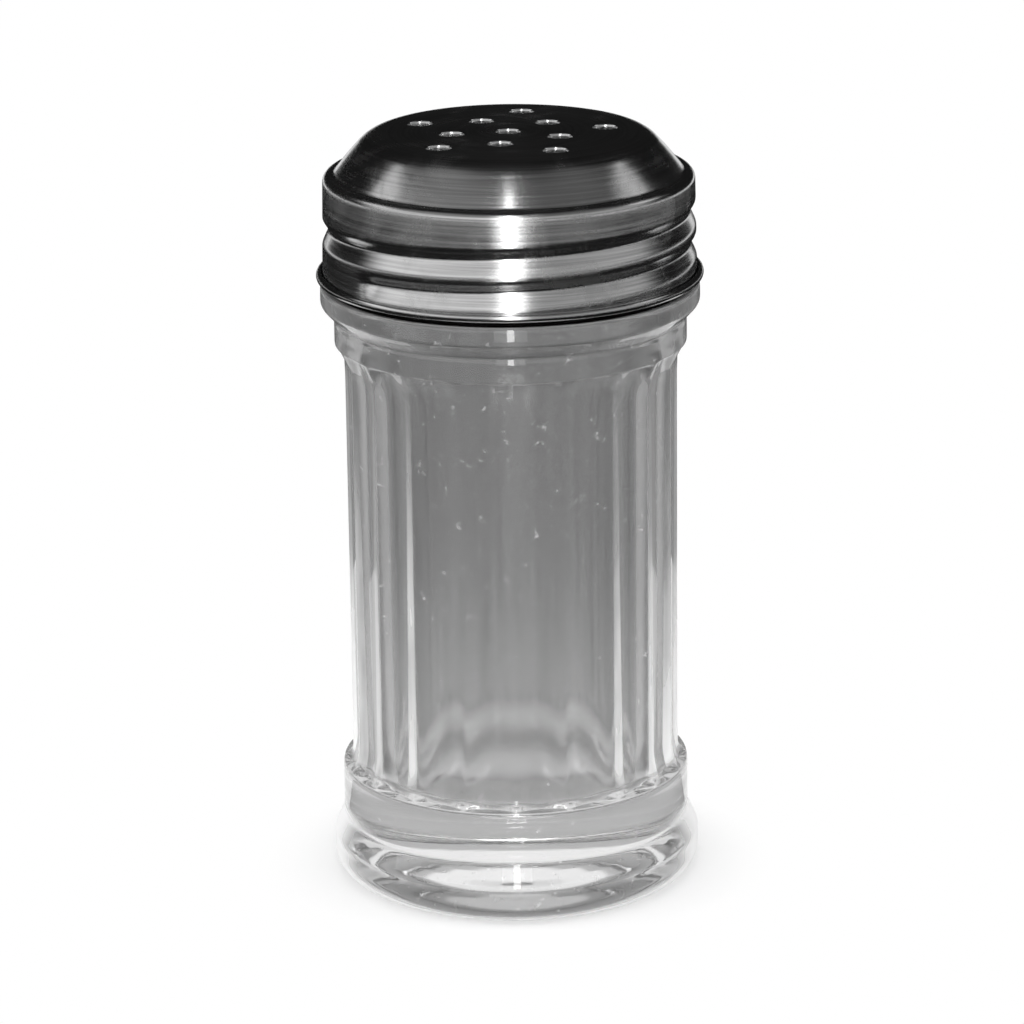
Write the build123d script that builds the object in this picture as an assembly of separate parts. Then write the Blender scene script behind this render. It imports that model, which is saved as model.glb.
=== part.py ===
from build123d import *
from math import cos, radians, sin, sqrt
import os

# A table shaker for spice or grated cheese: a pressed, fluted glass jar, a stamped
# stainless steel screw lid with punched pouring holes, and a thin sealing ring
# between the two. Millimetres, +Z up, the front is -Y, and the origin is the
# centre of the circle that the foot stands on.

# Fluted body, the size that the rest of the jar and the lid follow
BODY_RADIUS = 26.1
BODY_END_ROUND = 1.2
FLUTE_COUNT = 20
FLUTE_DEPTH = 0.9
FLUTE_RADIUS = 12.0
FLUTE_LOW_MARGIN = 0.6
FLUTE_TOP_MARGIN = 1.4

# Foot of the jar: a rolled base ring, a cone and a plain collar ring above it
FOOT_PROUD = 1.65
FOOT_EDGE_ROUND = 4.0
FOOT_LAND_WIDTH = 1.4
FOOT_SIDE_HEIGHT = 6.5
FOOT_CONE_RISE = 3.5
FOOT_CONE_ROUND = 2.5
COLLAR_PROUD = 1.55
COLLAR_HEIGHT = 8.5
COLLAR_STEP_RISE = 1.1
COLLAR_ROUND = 1.7
PUNT_DEPTH = 4.2
PUNT_EDGE_RISE = 1.0
PUNT_EDGE_ROUND = 0.8

# Inside of the jar
BODY_WALL = 2.7
BORE_TAPER = 0.8
FLOOR_HEIGHT = 15.5
FLOOR_ROUND = 3.5

# Shoulder bead, notch, flange and neck, from the body upwards
JAR_HEIGHT = 113.7
SHOULDER_PROUD = 1.45
SHOULDER_RISE = 3.0
SHOULDER_BAND = 3.2
SHOULDER_ROUND = 0.9
NOTCH_DEPTH = 0.3
NOTCH_RISE = 0.6
NOTCH_ROUND = 0.3
FLANGE_PROUD = 2.5
FLANGE_DRAFT = 0.25
FLANGE_FLARE = 2.9
FLANGE_LIP = 2.4
FLANGE_ROUND = 2.0
FLANGE_EDGE_ROUND = 0.5
RIM_WIDTH = 3.75
RIM_ROUND = 1.2
NECK_ROOT_ROUND = 0.6

# Screw thread, right hand, five turns to the inch
THREAD_PITCH = 5.08
THREAD_HEIGHT = 0.8
THREAD_ROUND = 1.5
THREAD_TURNS = 1.28
THREAD_START_ANGLE = 230.0
THREAD_ROOT_SINK = 0.4
THREAD_FADE_ANGLE = 40.0
THREAD_FADE_SCALE = 0.1

# Lid, pressed from one sheet
SHEET = 0.4
SKIRT_HEIGHT = 17.45
SKIRT_FLARE = 0.35
LEDGE_WIDTH = 2.55
LEDGE_ROUND = 1.9
CONE_RUN = 3.95
CONE_FOOT_ROUND = 0.8
CROWN_RISE = 5.65
CROWN_SAG = 0.25
CROWN_ROUND = 5.5
CURL_INNER_RADIUS = 0.3
CURL_SWEEP = 275.0
CURL_STRAIGHT = 0.4
RIB_WIDTH = 1.7
GROOVE_OVERCUT = 0.15
RIDGE_ROOT_DEPTH = 0.35
LID_THREAD_TURNS = 1.56
LID_THREAD_START_ANGLE = 220.0
LID_THREAD_START_HEIGHT = 2.9

# Pouring holes: one in the middle and two rings, each punched downwards
HOLE_RADIUS = 1.6
HOLE_ENTRY_ROUND = 0.6
HOLE_ENTRY_LIFT = 0.06
HOLES_PER_RING = 5
OUTER_RING_INSET = 7.1
RING_PITCH = 6.4
HOLE_START_ANGLE = -98.0
BURR_WALL = 0.4
BURR_DEPTH = 0.35

# Sealing ring and fits
LINER_THICKNESS = 0.8
LINER_INSET = 1.2
LINER_EDGE_INSET = 0.3
LINER_EDGE_ROUND = 0.2
SEAT_GAP = 0.05
WALL_GAP = 0.5
RIDGE_GAP = 0.35
FLANGE_GAP = 0.9

# Radii that follow from the sizes above
FLUTE_FLOOR_RADIUS = BODY_RADIUS - FLUTE_DEPTH
COLLAR_RADIUS = BODY_RADIUS + COLLAR_PROUD
FOOT_RADIUS = COLLAR_RADIUS + FOOT_PROUD
SHOULDER_RADIUS = BODY_RADIUS + SHOULDER_PROUD
NOTCH_RADIUS = SHOULDER_RADIUS - NOTCH_DEPTH
BORE_MOUTH_RADIUS = BODY_RADIUS - BODY_WALL
BORE_FLOOR_RADIUS = BORE_MOUTH_RADIUS - BORE_TAPER
NECK_RADIUS = BORE_MOUTH_RADIUS + RIM_WIDTH
FLANGE_RADIUS = NECK_RADIUS + FLANGE_PROUD
FLANGE_LIP_RADIUS = FLANGE_RADIUS - FLANGE_DRAFT
SKIRT_RADIUS = NECK_RADIUS + THREAD_HEIGHT + WALL_GAP + SHEET
SKIRT_FOOT_RADIUS = SKIRT_RADIUS + SKIRT_FLARE
CONE_FOOT_RADIUS = SKIRT_RADIUS - LEDGE_WIDTH
CROWN_RADIUS = CONE_FOOT_RADIUS - CONE_RUN
OUTER_RING_RADIUS = CROWN_RADIUS - OUTER_RING_INSET
INNER_RING_RADIUS = OUTER_RING_RADIUS - RING_PITCH
RIDGE_RADIUS = NECK_RADIUS + RIDGE_GAP
GROOVE_HALF_WIDTH = (THREAD_PITCH - RIB_WIDTH) / 2
GROOVE_RADIUS = RIDGE_RADIUS + SHEET
LINER_INNER_RADIUS = BORE_MOUTH_RADIUS + LINER_INSET

# Heights that follow from the sizes above
FOOT_CONE_HEIGHT = FOOT_SIDE_HEIGHT + FOOT_CONE_RISE
COLLAR_TOP_HEIGHT = FOOT_CONE_HEIGHT + COLLAR_HEIGHT
BODY_BASE_HEIGHT = COLLAR_TOP_HEIGHT + COLLAR_STEP_RISE
FLUTE_LOW_END = BODY_BASE_HEIGHT - FLUTE_LOW_MARGIN
LINER_BASE = JAR_HEIGHT + SEAT_GAP
LEDGE_TOP = LINER_BASE + LINER_THICKNESS + SEAT_GAP + SHEET
LID_TOP = LEDGE_TOP + CROWN_RISE
LID_BASE = LEDGE_TOP - SKIRT_HEIGHT
CURL_CENTRE_HEIGHT = LID_BASE + CURL_INNER_RADIUS + SHEET
FLANGE_TOP = LID_BASE - FLANGE_GAP
FLANGE_BASE = FLANGE_TOP - FLANGE_LIP
NOTCH_TOP = FLANGE_BASE - FLANGE_FLARE
SHOULDER_TOP = NOTCH_TOP - NOTCH_RISE
SHOULDER_BASE = SHOULDER_TOP - SHOULDER_BAND
BODY_TOP = SHOULDER_BASE - SHOULDER_RISE


def turned(edges):
    """Solid of revolution about Z from edges that close a (radius, height) section."""
    return revolve(Plane.XZ * make_face(edges), Axis.Z)


def rounded_path(corners):
    """Straight runs through (radius, height, corner round) rows."""
    points = [(radius, height) for radius, height, _ in corners]
    rounds = [corner_round for _, _, corner_round in corners[1:-1]]
    return FilletPolyline(*points, radius=rounds)


def jar_blank():
    """Heavy-based jar before its flutes and thread: outer contour, mouth and bore."""
    land_radius = FOOT_RADIUS - FOOT_EDGE_ROUND - FOOT_LAND_WIDTH
    punt_radius = land_radius - PUNT_EDGE_RISE
    contour = rounded_path([
        (punt_radius, PUNT_EDGE_RISE, 0),
        (land_radius, 0, PUNT_EDGE_ROUND),
        (FOOT_RADIUS, 0, FOOT_EDGE_ROUND),
        (FOOT_RADIUS, FOOT_SIDE_HEIGHT, FOOT_CONE_ROUND),
        (COLLAR_RADIUS, FOOT_CONE_HEIGHT, FOOT_CONE_ROUND),
        (COLLAR_RADIUS, COLLAR_TOP_HEIGHT, COLLAR_ROUND),
        (BODY_RADIUS, BODY_BASE_HEIGHT, BODY_END_ROUND),
        (BODY_RADIUS, BODY_TOP, BODY_END_ROUND),
        (SHOULDER_RADIUS, SHOULDER_BASE, SHOULDER_ROUND),
        (SHOULDER_RADIUS, SHOULDER_TOP, NOTCH_ROUND),
        (NOTCH_RADIUS, NOTCH_TOP, NOTCH_ROUND),
        (FLANGE_LIP_RADIUS, FLANGE_BASE, FLANGE_ROUND),
        (FLANGE_RADIUS, FLANGE_TOP, FLANGE_EDGE_ROUND),
        (NECK_RADIUS, FLANGE_TOP, NECK_ROOT_ROUND),
        (NECK_RADIUS, JAR_HEIGHT, RIM_ROUND),
        (BORE_MOUTH_RADIUS, JAR_HEIGHT, RIM_ROUND),
        (BORE_FLOOR_RADIUS, FLOOR_HEIGHT, FLOOR_ROUND),
        (0, FLOOR_HEIGHT, 0),
    ])
    axis = Line((0, FLOOR_HEIGHT), (0, PUNT_DEPTH))
    punt = TangentArc((0, PUNT_DEPTH), (punt_radius, PUNT_EDGE_RISE), tangent=(1, 0))
    return turned([*contour.edges(), axis, punt])


def flute_cutter():
    """Upright capsule whose round ends leave an arch at each end of a flute."""
    low_centre = FLUTE_LOW_END + flute_run_out()
    top_centre = BODY_TOP + FLUTE_TOP_MARGIN - flute_run_out()
    offset_x = FLUTE_FLOOR_RADIUS + FLUTE_RADIUS
    shaft = Cylinder(
        FLUTE_RADIUS,
        top_centre - low_centre,
        align=(Align.CENTER, Align.CENTER, Align.MIN),
    )
    low_end = Sphere(FLUTE_RADIUS)
    top_end = Pos(0, 0, top_centre - low_centre) * Sphere(FLUTE_RADIUS)
    return Pos(offset_x, 0, low_centre) * (shaft + low_end + top_end)


def flute_run_out():
    """Height over which a ball end climbs from the flute floor to the body surface."""
    return sqrt(FLUTE_RADIUS**2 - (FLUTE_RADIUS - FLUTE_DEPTH) ** 2)


def thread_section(path, position, half_width, height, scale):
    """Curved bump on a chord, set square to the helix and pointing outwards."""
    origin = path.position_at(position)
    outwards = Vector(origin.X, origin.Y, 0).normalized()
    plane = Plane(origin=origin, x_dir=outwards, z_dir=path.tangent_at(position))
    low = plane.from_local_coords((0, -half_width * scale))
    crest = plane.from_local_coords((height * scale, 0))
    high = plane.from_local_coords((0, half_width * scale))
    return make_face([ThreePointArc(low, crest, high), Line(high, low)])


def thread_run(start_angle, sweep_angle, radius, base, section, scales):
    """One stretch of thread, whose section may grow or shrink along it."""
    helix = Helix(THREAD_PITCH, THREAD_PITCH * sweep_angle / 360, radius)
    path = Rot(0, 0, start_angle) * Pos(0, 0, base) * helix
    first = thread_section(path, 0, *section, scales[0])
    if scales[0] == scales[1]:
        return sweep(first, path=path, is_frenet=True)
    last = thread_section(path, 1, *section, scales[1])
    return sweep([first, last], path=path, multisection=True, is_frenet=True)


def thread(start_angle, base, turns, chord_radius, crest_radius, arc_radius):
    """Helical bead between a chord and a crest, run out to nothing at both ends.

    The crest lies outside the chord on the glass and inside it on the lid.
    """
    height = crest_radius - chord_radius
    half_width = sqrt(arc_radius**2 - (arc_radius - abs(height)) ** 2)
    section = (half_width, height)
    full_angle = 360 * turns - 2 * THREAD_FADE_ANGLE
    fade_rise = THREAD_PITCH * THREAD_FADE_ANGLE / 360
    full_rise = THREAD_PITCH * full_angle / 360
    return [
        thread_run(start_angle + THREAD_FADE_ANGLE, full_angle, chord_radius,
                   base + fade_rise, section, (1, 1)),
        thread_run(start_angle, THREAD_FADE_ANGLE, chord_radius, base,
                   section, (THREAD_FADE_SCALE, 1)),
        thread_run(start_angle + THREAD_FADE_ANGLE + full_angle, THREAD_FADE_ANGLE,
                   chord_radius, base + fade_rise + full_rise,
                   section, (1, THREAD_FADE_SCALE)),
    ]


def glass_thread():
    """Thread on the neck, half a lead above the ridge inside the lid."""
    lid_angle = THREAD_START_ANGLE - LID_THREAD_START_ANGLE
    base = (LID_BASE + LID_THREAD_START_HEIGHT
            + THREAD_PITCH * lid_angle / 360 + THREAD_PITCH / 2)
    return thread(
        THREAD_START_ANGLE,
        base,
        THREAD_TURNS,
        NECK_RADIUS - THREAD_ROOT_SINK,
        NECK_RADIUS + THREAD_HEIGHT,
        THREAD_ROUND,
    )


def glass_jar():
    """Pressed jar with concave flutes, a rolled foot and a threaded neck."""
    flutes = PolarLocations(0, FLUTE_COUNT, start_angle=90 + 180 / FLUTE_COUNT)
    jar = jar_blank() - [place * flute_cutter() for place in flutes]
    return jar + glass_thread()


def corner_of(line, place):
    """Vertex of a line that lies nearest to a place."""
    return min(line.vertices(), key=lambda vertex: (Vector(vertex) - Vector(place)).length)


def lid_envelope():
    """Solid as large as the outside of the lid, down to the top of its curl."""
    crown_edge = (CROWN_RADIUS, LID_TOP - CROWN_SAG)
    cone_foot = (CONE_FOOT_RADIUS, LEDGE_TOP)
    ledge_edge = (SKIRT_RADIUS, LEDGE_TOP)
    skirt_foot = (SKIRT_FOOT_RADIUS, CURL_CENTRE_HEIGHT + CURL_STRAIGHT)
    curl_start = (SKIRT_FOOT_RADIUS, CURL_CENTRE_HEIGHT)
    crown = TangentArc((0, LID_TOP), crown_edge, tangent=(1, 0))
    side = Polyline(crown_edge, cone_foot, ledge_edge, skirt_foot, curl_start)
    outside = Wire([crown, *side.edges()])
    outside = outside.fillet_2d(CROWN_ROUND, [corner_of(outside, crown_edge)])
    outside = outside.fillet_2d(CONE_FOOT_ROUND, [corner_of(outside, cone_foot)])
    outside = outside.fillet_2d(LEDGE_ROUND, [corner_of(outside, ledge_edge)])
    inside = Polyline(curl_start, (0, CURL_CENTRE_HEIGHT), (0, LID_TOP))
    return turned([*outside.edges(), *inside.edges()])


def curl():
    """Lower edge of the skirt, rolled outwards and up again into a hollow bead."""
    centre = (SKIRT_FOOT_RADIUS + CURL_INNER_RADIUS, CURL_CENTRE_HEIGHT)
    outer = CenterArc(centre, CURL_INNER_RADIUS + SHEET, 180, CURL_SWEEP)
    inner = CenterArc(centre, CURL_INNER_RADIUS, 180, CURL_SWEEP)
    start = Line(inner @ 0, outer @ 0)
    end = Line(outer @ 1, inner @ 1)
    return turned([outer, end, inner, start])


def rolled_thread(chord_radius, crest_radius, arc_radius):
    """Helical bead of the lid, for its ridge inside and its groove outside."""
    return thread(
        LID_THREAD_START_ANGLE,
        LID_BASE + LID_THREAD_START_HEIGHT,
        LID_THREAD_TURNS,
        chord_radius,
        crest_radius,
        arc_radius,
    )


def hole_places():
    """Centres of the pouring holes, just above the surface of the crown."""
    crown_curve = (CROWN_RADIUS**2 + CROWN_SAG**2) / (2 * CROWN_SAG)
    rings = (
        (0, 1, 0),
        (INNER_RING_RADIUS, HOLES_PER_RING, HOLE_START_ANGLE),
        (OUTER_RING_RADIUS, HOLES_PER_RING, HOLE_START_ANGLE - 180 / HOLES_PER_RING),
    )
    places = []
    for radius, count, start in rings:
        drop = crown_curve - sqrt(crown_curve**2 - radius**2)
        height = LID_TOP - drop + HOLE_ENTRY_LIFT
        for number in range(count):
            angle = radians(start + 360 * number / count)
            places.append(Pos(radius * cos(angle), radius * sin(angle), height))
    return places


def hole_bore():
    """Punch that cuts one hole and rounds the sheet down into it."""
    entry_radius = HOLE_RADIUS + HOLE_ENTRY_ROUND
    depth = SHEET + BURR_DEPTH + HOLE_ENTRY_ROUND
    wall = Polyline(
        (HOLE_RADIUS, -HOLE_ENTRY_ROUND),
        (HOLE_RADIUS, -depth),
        (0, -depth),
        (0, SHEET),
        (entry_radius, SHEET),
        (entry_radius, 0),
    )
    entry = CenterArc((entry_radius, -HOLE_ENTRY_ROUND), HOLE_ENTRY_ROUND, 90, 90)
    return turned([*wall.edges(), entry])


def hole_burr():
    """Metal that the punch draws down below the sheet."""
    height = SHEET / 2 + BURR_DEPTH
    burr = Cylinder(
        HOLE_RADIUS + BURR_WALL, height, align=(Align.CENTER, Align.CENTER, Align.MAX)
    )
    return Pos(0, 0, -SHEET / 2) * burr


def screw_lid():
    """Stamped lid of one sheet, its thread rolled in and its holes punched."""
    envelope = lid_envelope()
    sheet = offset(envelope, amount=-SHEET, openings=envelope.faces().sort_by(Axis.Z)[0])
    depth = SKIRT_RADIUS - GROOVE_RADIUS
    groove_round = (GROOVE_HALF_WIDTH**2 + depth**2) / (2 * depth)
    groove = rolled_thread(
        SKIRT_FOOT_RADIUS + GROOVE_OVERCUT, GROOVE_RADIUS, groove_round
    )
    ridge = rolled_thread(
        SKIRT_FOOT_RADIUS - RIDGE_ROOT_DEPTH, RIDGE_RADIUS, groove_round + SHEET
    )
    burr = hole_burr()
    bore = hole_bore()
    lid = sheet + curl() + ridge - groove
    lid = lid + [place * burr for place in hole_places()]
    return lid - [place * bore for place in hole_places()]


def lid_liner():
    """Thin soft ring that seals the ledge of the lid on the rim of the jar."""
    outer_radius = NECK_RADIUS - LINER_EDGE_INSET
    ring = Cylinder(
        outer_radius, LINER_THICKNESS, align=(Align.CENTER, Align.CENTER, Align.MIN)
    )
    hole = Cylinder(
        LINER_INNER_RADIUS, LINER_THICKNESS, align=(Align.CENTER, Align.CENTER, Align.MIN)
    )
    seal = ring - hole
    return Pos(0, 0, LINER_BASE) * fillet(seal.edges(), LINER_EDGE_ROUND)


PARTS = {
    "glass_jar": glass_jar,
    "screw_lid": screw_lid,
    "lid_liner": lid_liner,
}

os.makedirs("parts", exist_ok=True)
for part_name, make_part in PARTS.items():
    part = make_part()
    part.label = part_name
    export_step(part, f"parts/{part_name}.step")
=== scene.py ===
from functools import partial
from math import ceil, cos, pi, radians, sin, sqrt, tan

import bmesh
import bpy
import numpy as np
from mathutils import Matrix, Vector
from mathutils.geometry import delaunay_2d_cdt


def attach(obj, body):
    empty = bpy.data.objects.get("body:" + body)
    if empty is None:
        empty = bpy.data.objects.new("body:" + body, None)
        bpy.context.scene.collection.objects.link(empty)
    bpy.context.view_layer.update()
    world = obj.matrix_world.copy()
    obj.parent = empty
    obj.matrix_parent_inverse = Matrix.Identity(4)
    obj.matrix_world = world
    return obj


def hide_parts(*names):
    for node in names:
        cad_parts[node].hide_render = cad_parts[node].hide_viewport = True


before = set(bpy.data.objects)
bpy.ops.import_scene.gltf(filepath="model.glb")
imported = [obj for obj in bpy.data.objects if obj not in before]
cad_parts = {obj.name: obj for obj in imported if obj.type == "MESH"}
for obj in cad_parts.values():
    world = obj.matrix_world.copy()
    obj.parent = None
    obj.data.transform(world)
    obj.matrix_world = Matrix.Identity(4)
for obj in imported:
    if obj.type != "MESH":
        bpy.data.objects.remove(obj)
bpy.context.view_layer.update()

# ---------------------------------------------------------------- camera
# A long lens, 0.73 m from the shaker's foot, looks 17 degrees down on it and is tipped a
# little. Sizes in this file are millimetres and degrees, and MM turns them into metres.
MM = 0.001
CAMERA_DISTANCE = 682.8
CAMERA_HEIGHT = 268.6
AIM_SIDE = -0.12
AIM_HEIGHT = 58.96
CAMERA_TIP = 0.7
LENS = 158.55

eye = Vector((0, -CAMERA_DISTANCE, CAMERA_HEIGHT)) * MM
aim = Vector((AIM_SIDE, 0, AIM_HEIGHT)) * MM
look = (aim - eye).to_track_quat("-Z", "Y").to_matrix().to_4x4()
camera = bpy.data.objects.new("camera", bpy.data.cameras.new("camera"))
camera.data.lens = LENS
camera.matrix_world = Matrix.Translation(eye) @ look @ Matrix.Rotation(-radians(CAMERA_TIP), 4, "Z")
bpy.context.scene.collection.objects.link(camera)
bpy.context.scene.camera = camera
bpy.context.scene.view_settings.view_transform = "Standard"


# ---------------------------------------------------------------- glass jar
# The jar is one piece of pressed soda-lime glass: a heavy foot, twenty concave flutes,
# a shoulder bead, a flange and a threaded neck, all from the one mould.
JAR_HEIGHT = 113.7
BODY_RADIUS = 26.1
BODY_BASE = 19.6
BODY_TOP = 84.55
BODY_END_ROUND = 1.2
PUNT_HEIGHT = 4.2
PUNT_RADIUS = 22.9
PUNT_EDGE_HEIGHT = 1.0
LAND_RADIUS = 23.9
LAND_ROUND = 0.8
FOOT_RADIUS = 29.3
FOOT_ROUND = 4.0
FOOT_SIDE = 6.5
FOOT_CONE_TOP = 10.0
CONE_ROUND = 2.5
COLLAR_RADIUS = 27.65
COLLAR_TOP = 18.5
COLLAR_ROUND = 1.7
SHOULDER_RADIUS = 27.55
SHOULDER_BASE = 87.55
SHOULDER_TOP = 90.75
SHOULDER_ROUND = 0.9
NOTCH_RADIUS = 27.25
NOTCH_TOP = 91.35
NOTCH_ROUND = 0.3
FLANGE_BASE = 93.9
FLANGE_TOP = 96.65
FLANGE_LIP_RADIUS = 29.63
FLANGE_RADIUS = 29.6
FLANGE_ROUND = 1.4
FLANGE_EDGE_ROUND = 0.5
NECK_RADIUS = 27.15
NECK_ROOT_ROUND = 0.6
RIM_ROUND = 1.2
BORE_MOUTH_RADIUS = 23.4
BORE_FLOOR_RADIUS = 22.6
FLOOR_HEIGHT = 15.5
FLOOR_ROUND = 3.5

FLUTE_COUNT = 20
FLUTE_FLOOR = 25.2
FLUTE_RADIUS = 12.0
FLUTE_LOW_END = 19.0
FLUTE_HIGH_END = 85.95
ARRIS_SOFTNESS = 0.55

THREAD_PITCH = 5.08
GLASS_THREAD_START = 230.0
GLASS_THREAD_BASE = 103.13
GLASS_THREAD_TURNS = 1.28
GLASS_THREAD_ROOT = 26.75
GLASS_THREAD_CREST = 27.95
GLASS_THREAD_ROUND = 1.5
GLASS_THREAD_FADE = 40.0
ROOT_SOFTNESS = 0.25

# The mesh has fine rows where the skin curves or the flutes end, and coarse rows between.
# A hair is how far two sizes may differ and still count as the same.
ARC_STEP = 0.35
JAR_COLUMNS = 480
PUNT_STEPS = 12
FINE_ROW = 0.3
COARSE_ROW = 2.5
FLUTE_END_REACH = 6.0
RIM_REACH = 2.0
HAIR = 0.01


def rounded_path(corners):
    """Points along straight runs through (radius, height, corner round) rows."""
    points = [Vector(corners[0][:2])]
    for before, corner, after in zip(corners, corners[1:], corners[2:]):
        place, corner_round = Vector(corner[:2]), corner[2]
        if not corner_round:
            points.append(place)
            continue
        back = (Vector(before[:2]) - place).normalized()
        onward = (Vector(after[:2]) - place).normalized()
        half = back.angle(onward) / 2
        centre = place + (back + onward).normalized() * corner_round / sin(half)
        arm = place + back * corner_round / tan(half) - centre
        sweep = (pi - 2 * half) * (-1 if back.cross(onward) > 0 else 1)
        steps = max(2, ceil(abs(sweep) * corner_round / ARC_STEP))
        for step in range(steps + 1):
            points.append(centre + Matrix.Rotation(sweep * step / steps, 2) @ arm)
    points.append(Vector(corners[-1][:2]))
    return points


def spaced(points, longest):
    """The same path with no step longer than a limit, as two rows: radii and heights."""
    filled = [points[0]]
    for start, end in zip(points, points[1:]):
        steps = ceil((end - start).length / longest)
        filled += [start.lerp(end, step / steps) for step in range(1, steps + 1)]
    return np.array([tuple(point) for point in filled])


def softer_least(first, second, softness):
    """The smaller of two radii, with the crease where they cross rounded off."""
    near = np.clip(softness - np.abs(first - second), 0, None) / softness
    return np.minimum(first, second) - near**2 * softness / 4


def softer_most(first, second, softness):
    """The larger of two radii, with the crease where they cross rounded off."""
    return -softer_least(-first, -second, softness)


def thread_turns(heights, angles, start, base, turns, fade):
    """For each turn of a helix, the height above its line and how far it has run in."""
    for turn in range(ceil(turns) + 1):
        along = (angles - start) % 360 + 360 * turn
        end = np.minimum(along, 360 * turns - along)
        yield heights - base - THREAD_PITCH * along / 360, np.clip(end / fade, 0, 1)


def glass_thread(heights, angles):
    """How far the round bead of the thread stands off the neck."""
    rise = np.zeros(np.broadcast(heights, angles).shape)
    depth = GLASS_THREAD_CREST - GLASS_THREAD_ROOT
    for off, scale in thread_turns(heights, angles, GLASS_THREAD_START, GLASS_THREAD_BASE,
                                   GLASS_THREAD_TURNS, GLASS_THREAD_FADE):
        inside = GLASS_THREAD_ROUND**2 - (off / np.maximum(scale, HAIR)) ** 2
        bead = np.sqrt(np.clip(inside, 0, None)) - GLASS_THREAD_ROUND + depth
        rise = np.maximum(rise, np.clip(bead, 0, None) * scale)
    return rise


def fluted(radii, heights, angles):
    """Radius of the body after the flutes, which end in arches, are pressed in."""
    flute = FLUTE_FLOOR + FLUTE_RADIUS
    depth = BODY_RADIUS - FLUTE_FLOOR
    run_out = sqrt(FLUTE_RADIUS**2 - (FLUTE_RADIUS - depth) ** 2)
    past_low = np.clip(FLUTE_LOW_END + run_out - heights, 0, None)
    past_high = np.clip(heights - FLUTE_HIGH_END + run_out, 0, None)
    share = 360 / FLUTE_COUNT
    off = np.radians((angles + 90) % share - share / 2)
    inside = FLUTE_RADIUS**2 - (past_low + past_high) ** 2 - (flute * np.sin(off)) ** 2
    floor = flute * np.cos(off) - np.sqrt(np.clip(inside, 0, None))
    floor = np.where(inside > 0, floor, radii + 1)
    return softer_least(radii, floor, ARRIS_SOFTNESS)


def turned_faces(rows, columns):
    """Quads of a grid whose columns close into a ring."""
    row, column = np.meshgrid(np.arange(rows - 1), np.arange(columns), indexing="ij")
    along = (column + 1) % columns
    corners = (row * columns + column, row * columns + along,
               (row + 1) * columns + along, (row + 1) * columns + column)
    return np.stack(corners, -1).reshape(-1, 4).tolist()


def turned_points(radii, heights, angles):
    """Places in millimetres of a grid of radii over heights and angles."""
    around = np.radians(angles)
    return np.stack((radii * np.cos(around), radii * np.sin(around),
                     np.broadcast_to(heights, radii.shape)), -1).reshape(-1, 3)


def piece_from(name, points, faces):
    """Smooth object in the scene from places in millimetres."""
    mesh = bpy.data.meshes.new(name)
    mesh.from_pydata((np.asarray(points) * MM).tolist(), [], faces)
    mesh.validate()
    mesh.shade_smooth()
    made = bpy.data.objects.new(name, mesh)
    bpy.context.scene.collection.objects.link(made)
    return made


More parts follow.
